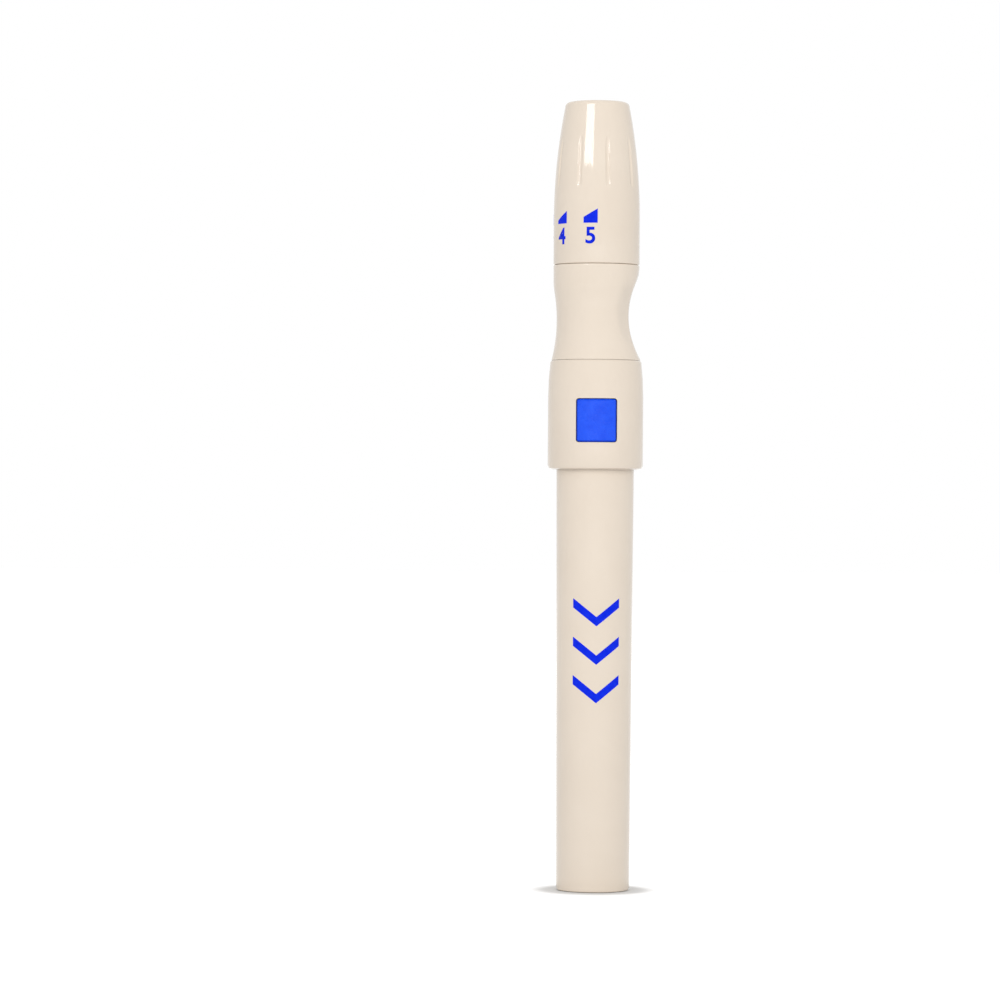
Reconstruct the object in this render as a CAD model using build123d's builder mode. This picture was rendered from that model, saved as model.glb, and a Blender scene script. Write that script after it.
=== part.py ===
from build123d import *

import os
from math import cos, pi, radians, sin, sqrt

# Lancing pen, standing on its tail. The axis is Z, the nose is up and the button faces -Y.

# Lengths along the pen, from the tail end to the nose
sleeve_exposed = 68.3  # sleeve that shows below the collar
neck_length = 15.5
dial_length = 26.5

# Travels of the mechanism
strike_travel = 3.0  # carrier, forwards from rest
cock_travel = 6.0  # carrier, backwards from rest
depth_travel = 1.6  # depth stop, from the deepest setting to the shallowest
button_travel = 1.0

# Clearances shared by all fits
press_gap = 0.02  # pieces pushed together for good
turn_gap = 0.05  # pieces that plug together or turn on each other
slide_gap = 0.1  # pieces that slide in each other
end_gap = 0.3  # left at the end of a travel
seat_gap = 0.2  # left at the end of a plug or spigot
coil_gap = 0.15  # spring to the wall that guides it
seam_gap = 0.05  # visible joint lines round the pen

# Tail end, from the rod out to the sleeve and the collar
tail_radius = 2.0
return_wire = 0.45
ledge_clearance = 0.28  # return spring to the pull ledge
catch_width = 0.9  # how far the ledge grips the tail plug
plug_clearance = 0.35  # tail plug to the pull tube
pull_wall = 0.75
sleeve_wall = 0.93  # at the tail, where it is thinnest
sleeve_taper = 0.35
sleeve_clearance = 0.3  # sleeve to the collar
collar_wall = 1.15
collar_taper = 0.35

# Barrel, from the sleeve inwards
sleeve_wire = 0.45
barrel_wall = 0.65
drive_wire = 0.6

# Nose end, from the lancet out to the dial
lancet_radius = 3.0
lancet_clearance = 0.1
cup_wall = 0.8
cup_clearance = 0.3  # cup to the cap's bore
tongue_wall = 0.9  # tongues of the depth stop
stop_clearance = 0.08  # depth stop to the dial
dial_wall = 1.82
spigot_wall = 1.4  # spigot that the dial turns on

# Dial
dial_straight = 7.5  # cylindrical foot, where the numbers are
nose_taper = 1.75  # loss of radius from the foot to the nose
nose_wall = 1.5
nose_shell = 1.05
nose_bore_depth = 8.5  # nose tip to the step where the inside widens
nose_edge = 0.8
nose_hole_edge = 0.4
nose_clearance = 0.2  # lancet to the nose opening
flute_count = 9
flute_first_angle = -76.0
flute_radius = 0.9
flute_end_rise = 14.0  # from the end of the straight foot to where a flute runs out
flute_length = 8.5  # from there down to its sloping lower end
flute_tilt = 5.2  # of its floor, in degrees, a little less than the taper round it
flute_ramp_tilt = 10.0  # of its lower end, in degrees
spigot_length = 4.7
bead_height = 0.25  # snap bead that keeps the dial on
bead_width = 0.8
bead_rise = 2.0  # from the seam to the bead
bead_play = 0.1
seam_chamfer = 0.2

# Neck
neck_waist_drop = 0.55
neck_foot_step = 0.15
neck_waist_height = 7.2  # waist and scoop, above the collar
neck_shoulder = 3.5  # straight part below the dial
scoop_radius = 13.0  # along the pen
scoop_wall = 1.0  # left at the floor of the scoop
scoop_flank_angle = 32.0  # the scoop rounds off through a shallower flank on either side
scoop_flank_rise = 0.55
foot_length = 5.0  # plug that goes into the collar
foot_wall = 1.1
foot_bore_rise = 1.0  # from the collar to the step where the bore narrows
key_width = 1.6
key_height = 0.35

# Depth stop
stop_height = 2.5
stop_clear_hole = 0.3  # lancet to the hole in the stop
tongue_width = 2.0

# Collar, button and latch
socket_ledge = 0.45  # step that the barrel's head seats on
collar_edge = 0.7
button_width = 6.4
button_height = 6.86
button_corner = 0.35
button_bevel = 0.25
button_face_drop = 0.03
button_front_wall = 0.75
button_lip = 0.5
button_margin = 0.55  # from the button's flange to either end of the barrel's head
window_gap = 0.12
window_margin = 0.25  # straight outside of the collar above the window
button_flange_width = 5.2
button_wire = 0.3
stem_radius = 0.8
stem_hole_gap = 0.2
stem_coil_gap = 0.35
seat_wall = 0.95  # barrel wall under the button

# Inner barrel
barrel_tube_length = 40.6
bush_flange = 1.0
bush_spigot = 3.0

# Lancet carrier and tail plug
cup_setback = 17.0  # nose tip to the cup's mouth
cup_depth = 12.5
cup_floor = 1.5
cup_edge = 0.3
cup_slot_width = 0.8
cup_slot_depth = 8.0
rib_thickness = 1.2
rib_clearance = 0.3
spring_flange = 1.5
spring_flange_drop = 1.6  # below the barrel's head
finger_width = 1.4
finger_thickness = 0.7
hook_height = 1.6
hook_reach = 0.5
plug_length = 6.0
plug_floor = 1.0

# Sleeve, pull tube and end cap
sleeve_insert = 3.0  # sleeve inside the collar
sleeve_edge = 0.4
guide_ring = 2.5
pull_ledge = 1.2
end_disc = 2.0
end_spigot = 2.5
end_edge = 0.3

# Springs
sleeve_spring_length = 27.0
return_spring_length = 8.0
drive_turns = 8
sleeve_turns = 6
return_turns = 4
button_turns = 3
coil_steps = 10  # straight lengths of wire in one turn
wire_sides = 5

# Tapers that stand for a curved outline
edge_tapers = 2
waist_tapers = 4
nose_tapers = 3
collar_tapers = 2

# The collar holds the sleeve's end, the barrel's head with the button, and the cap's plug
flange_height = button_height + 2 * (window_gap + button_lip)
head_length = flange_height + 2 * button_margin
collar_length = sleeve_insert + end_gap + head_length + seat_gap + foot_length

# Stations along the axis
collar_bottom = sleeve_exposed
collar_top = collar_bottom + collar_length
neck_top = collar_top + neck_length
nose_tip = neck_top + dial_length
sleeve_top = collar_bottom + sleeve_insert
head_bottom = sleeve_top + end_gap
head_top = head_bottom + head_length
button_z = (head_bottom + head_top) / 2
collar_shoulder = button_z + button_height / 2 + window_gap + window_margin
barrel_rear = head_bottom - barrel_tube_length
bush_bottom = barrel_rear - bush_flange
bush_top = barrel_rear + bush_spigot
ring_bottom = barrel_rear + sleeve_spring_length
plug_top = bush_bottom - return_spring_length
plug_bottom = plug_top - plug_length
ledge_bottom = plug_top + strike_travel + end_gap
spring_flange_bottom = head_bottom - spring_flange_drop
spring_flange_top = spring_flange_bottom + spring_flange
cup_mouth = nose_tip - cup_setback
cup_bottom = cup_mouth - cup_depth - cup_floor
stop_rear = cup_mouth + strike_travel + end_gap
spigot_top = neck_top + spigot_length
tongue_tip = neck_top + depth_travel + end_gap
waist_z = collar_top + neck_waist_height
flute_end_z = neck_top + dial_straight + flute_end_rise

# Radii, from the tail rod outwards. The straight lengths of a coil run nearer to the axis than its corners.
coil_sag = cos(pi / coil_steps)
return_coil = (tail_radius + coil_gap + return_wire / 2) / coil_sag
pull_hole = return_coil + return_wire / 2 + ledge_clearance
plug_radius = pull_hole + catch_width
pull_bore = plug_radius + plug_clearance
pull_radius = pull_bore + pull_wall
sleeve_bore = pull_radius + press_gap
sleeve_base_radius = sleeve_bore + sleeve_wall
sleeve_top_radius = sleeve_base_radius + sleeve_taper
collar_bore = sleeve_top_radius + sleeve_clearance
collar_radius = collar_bore + collar_wall
collar_top_radius = collar_radius - collar_taper
socket_radius = collar_bore - socket_ledge
neck_foot_radius = collar_top_radius - neck_foot_step

# Radii, from the sleeve spring inwards
sleeve_coil = sleeve_bore - coil_gap - sleeve_wire / 2
barrel_radius = sleeve_coil * coil_sag - sleeve_wire / 2 - coil_gap
barrel_bore = barrel_radius - barrel_wall
drive_coil = barrel_bore - coil_gap - drive_wire / 2

# Radii, from the lancet outwards
cup_bore = lancet_radius + lancet_clearance
cup_radius = cup_bore + cup_wall
neck_bore = cup_radius + cup_clearance
stop_radius = neck_bore + tongue_wall
dial_bore = stop_radius + stop_clearance
dial_radius = dial_bore + dial_wall
nose_radius = dial_radius - nose_taper
nose_rise = dial_length - dial_straight - nose_edge
nose_bend = (nose_rise**2 + nose_taper**2) / (2 * nose_taper)
flute_end_radius = dial_radius - nose_bend + sqrt(nose_bend**2 - flute_end_rise**2)
nose_bore = nose_radius - nose_shell
nose_hole = lancet_radius + nose_clearance
spigot_radius = neck_bore + spigot_wall
dial_socket = spigot_radius + turn_gap
bead_radius = spigot_radius + bead_height
scoop_floor = neck_bore + scoop_wall
scoop_flank = scoop_floor + scoop_flank_rise
foot_radius = socket_radius - turn_gap
foot_bore = foot_radius - foot_wall

# Distances from the axis to the button's and the latch's faces
seat_y = barrel_bore + seat_wall
button_flange_y = seat_y + button_travel + coil_gap
button_face_radius = collar_radius - button_face_drop
button_pocket_y = button_face_radius - button_front_wall
button_coil = stem_radius + stem_coil_gap + button_wire / 2
stem_hole = stem_radius + stem_hole_gap
stem_tip_y = barrel_bore + button_travel - slide_gap
hook_y = barrel_bore - rib_clearance
finger_y = hook_y - hook_reach
hook_top = button_z + stem_hole + cock_travel - slide_gap


def rings_at(piece, height):
    """The circular edges of a turned piece at one height, from the smallest to the largest."""
    circles = piece.edges().filter_by(GeomType.CIRCLE)
    return circles.filter_by(lambda edge: abs(edge.center().Z - height) < press_gap).sort_by(SortBy.RADIUS)


def tapers(curve, count, stretch=Line):
    """Draws a curved outline as a few straight tapers. A slight taper drawn as a Bezier has fewer facets."""
    marks = [curve @ (i / count) for i in range(count + 1)]
    for start, end in zip(marks, marks[1:]):
        stretch(start, end)


def coil_spring(seat, length, coil_radius, wire, turns):
    """A compression spring that stands on a plane: a length of wire wound round the plane's normal."""
    steps = turns * coil_steps
    rise = (length - wire) / steps
    turn = 2 * pi / coil_steps
    points = [
        (coil_radius * cos(i * turn), coil_radius * sin(i * turn), wire / 2 + i * rise)
        for i in range(steps + 1)
    ]
    with BuildPart() as spring:
        with BuildLine(seat) as coil:
            Polyline(*points)
        with BuildSketch(Plane(origin=coil.line @ 0, z_dir=coil.line % 0)):
            RegularPolygon(wire / 2, wire_sides)
        sweep(path=coil.line, transition=Transition.RIGHT)
    return spring


# Depth dial: a turned shell whose outside closes in on one long curve, with flutes along its taper
with BuildPart() as flute_cutter:
    tilt = radians(flute_tilt)
    ramp_tilt = radians(flute_ramp_tilt)
    down = Plane(
        origin=(flute_end_radius, 0, flute_end_z),
        x_dir=(cos(tilt), 0, sin(tilt)),
        z_dir=(sin(tilt), 0, -cos(tilt)),
    )
    with BuildSketch(down):
        with Locations((flute_radius, 0)):
            Circle(flute_radius)
    extrude(amount=flute_end_rise)
    ramp_foot = down.from_local_coords((0, 0, flute_length))
    ramp = Plane(origin=ramp_foot, z_dir=(cos(ramp_tilt), 0, sin(ramp_tilt)))
    split(bisect_by=ramp, keep=Keep.TOP)

with BuildPart() as depth_dial:
    with BuildSketch(Plane.XZ):
        with BuildLine():
            Polyline(
                (nose_radius - nose_edge, nose_tip),
                (nose_hole + nose_hole_edge, nose_tip),
                (nose_hole, nose_tip - nose_hole_edge),
                (nose_hole, nose_tip - nose_wall),
                (nose_bore, nose_tip - nose_wall),
                (nose_bore, nose_tip - nose_bore_depth),
                (dial_bore, nose_tip - nose_bore_depth),
                (dial_bore, spigot_top + seat_gap),
                (dial_socket, spigot_top + seat_gap),
                (dial_socket, neck_top + seam_gap),
                (dial_radius - seam_chamfer, neck_top + seam_gap),
                (dial_radius, neck_top + seam_gap + seam_chamfer),
                (dial_radius, neck_top + dial_straight),
            )
            nose_curve = TangentArc(
                (dial_radius, neck_top + dial_straight),
                (nose_radius, nose_tip - nose_edge),
                tangent=(0, 1),
                mode=Mode.PRIVATE,
            )
            tapers(nose_curve, nose_tapers)
            nose_round = CenterArc(
                (nose_radius - nose_edge, nose_tip - nose_edge), nose_edge, 0, 90, mode=Mode.PRIVATE
            )
            tapers(nose_round, edge_tapers)
        make_face()
    revolve(axis=Axis.Z)
    # groove for the snap bead of the cap
    with Locations((0, 0, neck_top + bead_rise + bead_width / 2)):
        Cylinder(bead_radius + bead_play, bead_width + 2 * bead_play, mode=Mode.SUBTRACT)
    with PolarLocations(0, flute_count, start_angle=flute_first_angle):
        add(flute_cutter.part, mode=Mode.SUBTRACT)

# Neck of the cap: plug below, spigot with its snap bead above, slight waist with a thumb scoop between them
with BuildPart() as cap_neck:
    with BuildSketch(Plane.XZ):
        with BuildLine():
            Polyline(
                (neck_foot_radius, collar_top + seam_gap),
                (foot_radius, collar_top + seam_gap),
                (foot_radius, collar_top - foot_length),
                (foot_bore, collar_top - foot_length),
                (foot_bore, collar_top + foot_bore_rise),
                (neck_bore, collar_top + foot_bore_rise),
                (neck_bore, spigot_top),
                (spigot_radius, spigot_top),
                (spigot_radius, neck_top),
                (dial_radius - seam_chamfer, neck_top),
                (dial_radius, neck_top - seam_chamfer),
                (dial_radius, neck_top - neck_shoulder),
            )
            waist_curve = ThreePointArc(
                (dial_radius, neck_top - neck_shoulder),
                (dial_radius - neck_waist_drop, waist_z),
                (neck_foot_radius, collar_top + seam_gap),
                mode=Mode.PRIVATE,
            )
            tapers(waist_curve, waist_tapers)
        make_face()
    revolve(axis=Axis.Z)
    with Locations((scoop_floor + scoop_radius, 0, waist_z)):
        Cylinder(scoop_radius, 2 * dial_radius, rotation=(90, 0, 0), mode=Mode.SUBTRACT)
    for angle in (-scoop_flank_angle, scoop_flank_angle):
        with Locations((0, 0, waist_z)), PolarLocations(scoop_flank + scoop_radius, 1, start_angle=angle):
            Cylinder(scoop_radius, 2 * dial_radius, rotation=(90, 0, 0), mode=Mode.SUBTRACT)
    # snap bead, split by the slots that the tongues of the depth stop slide in
    with BuildSketch(Plane.XY.offset(neck_top + bead_rise)):
        Circle(bead_radius)
        Circle(neck_bore, mode=Mode.SUBTRACT)
    extrude(amount=bead_width)
    with BuildSketch(Plane.XY.offset(neck_top)):
        Rectangle(2 * bead_radius, tongue_width + 2 * slide_gap)
    extrude(amount=spigot_length, mode=Mode.SUBTRACT)
    # key that stops the cap from turning in the collar
    with BuildSketch(Plane.XY.offset(collar_top - foot_length)):
        with Locations((0, foot_radius)):
            Rectangle(key_width, 2 * key_height)
    extrude(amount=foot_length)

# Depth stop: a ring with two tongues that keep it from turning with the dial
with BuildPart() as depth_stop:
    with BuildSketch(Plane.XY.offset(stop_rear)):
        Circle(stop_radius)
        Circle(lancet_radius + stop_clear_hole, mode=Mode.SUBTRACT)
    extrude(amount=stop_height)
    with BuildSketch(Plane.XY.offset(tongue_tip)):
        Circle(stop_radius)
        Rectangle(2 * stop_radius, tongue_width, mode=Mode.INTERSECT)
        Circle(neck_bore, mode=Mode.SUBTRACT)
    extrude(amount=stop_rear - tongue_tip)

# Grip collar: a turned ring with the button's window and the socket for the cap
with BuildPart() as grip_collar:
    with BuildSketch(Plane.XZ):
        with BuildLine():
            Polyline(
                (collar_top_radius, collar_top - seam_chamfer),
                (collar_top_radius - seam_chamfer, collar_top),
                (socket_radius, collar_top),
                (socket_radius, head_top),
                (collar_bore, head_top),
                (collar_bore, collar_bottom),
                (collar_radius - collar_edge, collar_bottom),
            )
            collar_round = CenterArc(
                (collar_radius - collar_edge, collar_bottom + collar_edge),
                collar_edge,
                -90,
                90,
                mode=Mode.PRIVATE,
            )
            tapers(collar_round, edge_tapers)
            Line((collar_radius, collar_bottom + collar_edge), (collar_radius, collar_shoulder))
            collar_curve = TangentArc(
                (collar_radius, collar_shoulder),
                (collar_top_radius, collar_top - seam_chamfer),
                tangent=(0, 1),
                mode=Mode.PRIVATE,
            )
            tapers(collar_curve, collar_tapers, stretch=Bezier)
        make_face()
    revolve(axis=Axis.Z)
    with BuildSketch(Plane.XZ):
        with Locations((0, button_z)):
            RectangleRounded(
                button_width + 2 * window_gap, button_height + 2 * window_gap, button_corner + window_gap
            )
    extrude(amount=collar_radius, mode=Mode.SUBTRACT)
    with BuildSketch(Plane.XY.offset(head_top)):
        with Locations((0, socket_radius)):
            Rectangle(key_width + 2 * slide_gap, 2 * (key_height + slide_gap))
    extrude(amount=collar_top - head_top, mode=Mode.SUBTRACT)

# Release button: curved face, retaining flange behind the window, stem that trips the latch
with BuildPart() as release_button:
    with BuildSketch(Plane.XZ.offset(button_flange_y)):
        with Locations((0, button_z)):
            Rectangle(button_flange_width, flange_height)
    extrude(amount=collar_radius - button_flange_y)
    with Locations((0, 0, button_z)):
        Cylinder(collar_bore - slide_gap, collar_length, mode=Mode.INTERSECT)
    with BuildSketch(Plane.XZ.offset(button_flange_y)):
        with Locations((0, button_z)):
            RectangleRounded(button_width, button_height, button_corner)
    extrude(amount=collar_radius - button_flange_y)
    with Locations((0, 0, button_z)):
        Cylinder(button_face_radius, collar_length, mode=Mode.INTERSECT)
    chamfer(release_button.faces().sort_by(Axis.Y)[0].edges(), button_bevel)
    with BuildSketch(Plane.XZ.offset(button_flange_y)):
        with Locations((0, button_z)):
            Circle(button_coil + button_wire / 2 + coil_gap)
    extrude(amount=button_pocket_y - button_flange_y, mode=Mode.SUBTRACT)
    with BuildSketch(Plane.XZ.offset(stem_tip_y)):
        with Locations((0, button_z)):
            Circle(stem_radius)
    extrude(amount=button_pocket_y - stem_tip_y)

button_seat = Plane(origin=(0, -seat_y, button_z), z_dir=(0, -1, 0))
button_spring = coil_spring(button_seat, button_pocket_y - seat_y, button_coil, button_wire, button_turns)

# Inner barrel: a head pressed into the collar and a long guide tube
with BuildPart() as inner_barrel:
    with BuildSketch(Plane.XZ):
        with BuildLine():
            Polyline(
                (barrel_bore, barrel_rear),
                (barrel_radius, barrel_rear),
                (barrel_radius, head_bottom),
                (collar_bore - press_gap, head_bottom),
                (collar_bore - press_gap, head_top),
                (barrel_bore, head_top),
                close=True,
            )
        make_face()
    revolve(axis=Axis.Z)
    # flat seat for the button, open to the front, with the hole that the latch springs into
    with BuildSketch(Plane.XZ.offset(seat_y)):
        with Locations((0, button_z)):
            Rectangle(button_width + 2 * slide_gap, head_length)
    extrude(amount=collar_bore - seat_y, mode=Mode.SUBTRACT)
    with BuildSketch(Plane.XZ):
        with Locations((0, button_z)):
            Circle(stem_hole)
    extrude(amount=collar_bore, mode=Mode.SUBTRACT)

# Lancet carrier: slotted cup, cross-ribbed shaft, spring flange, latch finger and tail rod in one moulding
with BuildPart() as lancet_carrier:
    with BuildSketch(Plane.XY.offset(cup_bottom)):
        Circle(cup_radius)
    extrude(amount=cup_mouth - cup_bottom)
    with BuildSketch(Plane.XY.offset(cup_bottom + cup_floor)):
        Circle(cup_bore)
    extrude(amount=cup_depth, mode=Mode.SUBTRACT)
    chamfer(rings_at(lancet_carrier, cup_mouth), cup_edge)
    with BuildSketch(Plane.XY.offset(cup_mouth)):
        Rectangle(2 * cup_radius, cup_slot_width)
        Rectangle(cup_slot_width, 2 * cup_radius)
    extrude(amount=-cup_slot_depth, mode=Mode.SUBTRACT)
    with BuildSketch(Plane.XY.offset(spring_flange_top)):
        Rectangle(2 * barrel_bore, rib_thickness, rotation=45)
        Rectangle(2 * barrel_bore, rib_thickness, rotation=-45)
        Circle(barrel_bore - rib_clearance, mode=Mode.INTERSECT)
    extrude(amount=cup_bottom - spring_flange_top)
    with BuildSketch(Plane.XY.offset(spring_flange_bottom)):
        Circle(barrel_bore - slide_gap)
    extrude(amount=spring_flange)
    with BuildSketch(Plane.XY.offset(plug_bottom + plug_floor + end_gap)):
        Circle(tail_radius)
    extrude(amount=spring_flange_bottom - plug_bottom - plug_floor - end_gap)
    # latch finger, drawn in its pressed position, with a hook that faces the button
    with BuildSketch(Plane.YZ):
        with BuildLine():
            Polyline(
                (finger_thickness - finger_y, spring_flange_top),
                (finger_thickness - finger_y, hook_top),
                (-hook_y, hook_top),
                (-finger_y, hook_top - hook_height),
                (-finger_y, spring_flange_top),
                close=True,
            )
        make_face()
    extrude(amount=finger_width / 2, both=True)

# Tail plug: bush pressed on the end of the carrier's rod
with BuildPart() as tail_plug:
    with BuildSketch(Plane.XY.offset(plug_bottom)):
        Circle(plug_radius)
    extrude(amount=plug_length)
    with BuildSketch(Plane.XY.offset(plug_bottom + plug_floor)):
        Circle(tail_radius + press_gap)
    extrude(amount=plug_length - plug_floor, mode=Mode.SUBTRACT)

# Rear bush: closes the barrel and seats the drive, return and sleeve springs
with BuildPart() as rear_bush:
    with BuildSketch(Plane.XY.offset(bush_bottom)):
        Circle(sleeve_bore - slide_gap)
    extrude(amount=bush_flange)
    with BuildSketch(Plane.XY.offset(barrel_rear)):
        Circle(barrel_bore - press_gap)
    extrude(amount=bush_spigot)
    with BuildSketch(Plane.XY.offset(bush_bottom)):
        Circle(tail_radius + slide_gap)
    extrude(amount=bush_flange + bush_spigot, mode=Mode.SUBTRACT)

drive_spring = coil_spring(
    Plane.XY.offset(bush_top), spring_flange_bottom - bush_top, drive_coil, drive_wire, drive_turns
)
return_spring = coil_spring(
    Plane.XY.offset(plug_top), return_spring_length, return_coil, return_wire, return_turns
)
sleeve_spring = coil_spring(
    Plane.XY.offset(barrel_rear), sleeve_spring_length, sleeve_coil, sleeve_wire, sleeve_turns
)

# Pull tube: liner of the sleeve, whose ledge drags the tail plug back
with BuildPart() as pull_tube:
    with BuildSketch(Plane.XZ):
        with BuildLine():
            Polyline(
                (pull_bore, end_disc),
                (pull_radius, end_disc),
                (pull_radius, ledge_bottom + pull_ledge),
                (pull_hole, ledge_bottom + pull_ledge),
                (pull_hole, ledge_bottom),
                (pull_bore, ledge_bottom),
                close=True,
            )
        make_face()
    revolve(axis=Axis.Z)

# Cocking sleeve: tapered tube with an inner ring that runs on the barrel and takes the sleeve spring
with BuildPart() as cocking_sleeve:
    with BuildSketch(Plane.XZ):
        with BuildLine():
            sleeve_round = CenterArc(
                (sleeve_base_radius - sleeve_edge, sleeve_edge), sleeve_edge, -90, 90, mode=Mode.PRIVATE
            )
            tapers(sleeve_round, edge_tapers)
            Bezier((sleeve_base_radius, sleeve_edge), (sleeve_top_radius, collar_bottom))
            Polyline(
                (sleeve_top_radius, collar_bottom),
                (sleeve_top_radius, sleeve_top),
                (sleeve_bore, sleeve_top),
                (sleeve_bore, ring_bottom + guide_ring),
                (barrel_radius + slide_gap, ring_bottom + guide_ring),
                (barrel_radius + slide_gap, ring_bottom),
                (sleeve_bore, ring_bottom),
                (sleeve_bore, 0),
                (sleeve_base_radius - sleeve_edge, 0),
            )
        make_face()
    revolve(axis=Axis.Z)

# End cap: disc flush with the sleeve's end, with a spigot inside the pull tube
with BuildPart() as end_cap:
    with BuildSketch(Plane.XY):
        Circle(sleeve_bore - press_gap)
    extrude(amount=end_disc)
    chamfer(rings_at(end_cap, 0), end_edge)
    with BuildSketch(Plane.XY.offset(end_disc)):
        Circle(pull_bore - press_gap)
    extrude(amount=end_spigot)

pieces = {
    "depth_dial": depth_dial,
    "cap_neck": cap_neck,
    "depth_stop": depth_stop,
    "grip_collar": grip_collar,
    "release_button": release_button,
    "button_spring": button_spring,
    "inner_barrel": inner_barrel,
    "lancet_carrier": lancet_carrier,
    "tail_plug": tail_plug,
    "rear_bush": rear_bush,
    "drive_spring": drive_spring,
    "return_spring": return_spring,
    "sleeve_spring": sleeve_spring,
    "pull_tube": pull_tube,
    "cocking_sleeve": cocking_sleeve,
    "end_cap": end_cap,
}

os.makedirs("parts", exist_ok=True)
for name, piece in pieces.items():
    piece.part.label = name
    export_step(piece.part, f"parts/{name}.step")
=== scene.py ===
"""Looks of the lancing pen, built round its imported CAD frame.

The pen stands on its tail with the nose up, and its button faces -Y.
Sizes in the classes are in millimetres, and angles in degrees.
"""

import logging
import math
from collections.abc import Callable, Iterator
from contextlib import contextmanager
from dataclasses import dataclass
from enum import Enum
from statistics import median
from typing import Any

import bpy
from mathutils import Matrix, Vector

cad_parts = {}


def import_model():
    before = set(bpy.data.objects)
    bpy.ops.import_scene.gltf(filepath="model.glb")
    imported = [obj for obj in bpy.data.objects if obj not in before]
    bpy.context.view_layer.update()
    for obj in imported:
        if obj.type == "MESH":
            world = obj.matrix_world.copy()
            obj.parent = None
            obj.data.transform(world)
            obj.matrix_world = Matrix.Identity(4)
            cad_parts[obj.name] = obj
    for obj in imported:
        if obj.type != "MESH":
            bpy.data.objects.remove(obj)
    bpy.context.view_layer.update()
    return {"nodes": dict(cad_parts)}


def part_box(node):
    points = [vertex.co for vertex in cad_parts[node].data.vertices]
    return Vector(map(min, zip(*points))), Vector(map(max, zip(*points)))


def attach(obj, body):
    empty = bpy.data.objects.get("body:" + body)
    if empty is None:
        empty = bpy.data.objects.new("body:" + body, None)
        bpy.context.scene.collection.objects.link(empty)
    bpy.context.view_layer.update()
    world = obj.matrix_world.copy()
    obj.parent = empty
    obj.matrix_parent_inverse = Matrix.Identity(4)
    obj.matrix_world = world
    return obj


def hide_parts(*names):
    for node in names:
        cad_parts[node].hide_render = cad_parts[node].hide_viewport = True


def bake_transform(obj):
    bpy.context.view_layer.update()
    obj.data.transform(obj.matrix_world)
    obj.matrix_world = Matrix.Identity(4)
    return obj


LOG = logging.getLogger("lancing_pen")
# Metres in a millimetre.
MM = 0.001
# Points that are nearer to each other become one.
MERGE_DISTANCE = 0.0005 * MM
# How far above a skin the rays start that look for hollows below it.
SKIN_LIFT = 0.06 * MM
# How much deeper than the middle of its ring a point has to lie to be over a hollow.
HOLLOW_STEP = 0.015 * MM
# Share of the way to its neighbours' middle that a point goes in one round of relaxing.
RELAX_SHARE = 0.5
# Faces that meet at a flatter angle become one.
FLAT_ANGLE = math.radians(0.1)
# The range that most of a noise's values lie in.
NOISE_LOW, NOISE_HIGH = 0.3, 0.7
# The colour sockets of a mix node, which has one set for each type of data.
MIX_FIRST, MIX_SECOND, MIX_RESULT = 6, 7, 2
# Width and height of the photo.
PHOTO_PIXELS = 1000

Colour = tuple[float, float, float]
Outline = list[tuple[float, float]]


class Body(Enum):
    """The moving bodies of the CAD frame that pieces ride on."""

    BODY = "body"
    CAP = "cap"
    DIAL = "dial"
    BUTTON = "button"
    SLEEVE = "sleeve"
    CARRIER = "carrier"


class Slot(Enum):
    """Names of material slots for the scene's own pieces."""

    IVORY = "ivory_plastic"
    BLUE = "blue_plastic"
    STEEL = "spring_steel"


def clear_view(tree: bpy.types.NodeTree) -> bpy.types.NodeSocket:
    """Tells the rays that see the white surround from those that light the pen.

    The surround is seen straight, in a mirror or through glass.

    Args:
        tree: The node tree of the floor or the world.

    Returns:
        A value of 1 for rays that see the surround, and 0 for the others.
    """
    paths = tree.nodes.new("ShaderNodeLightPath")
    seen = paths.outputs["Is Camera Ray"]
    for name in ("Is Glossy Ray", "Is Transmission Ray"):
        either = tree.nodes.new("ShaderNodeMath")
        either.operation = "MAXIMUM"
        tree.links.new(seen, either.inputs[0])
        tree.links.new(paths.outputs[name], either.inputs[1])
        seen = either.outputs["Value"]
    return seen


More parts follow.
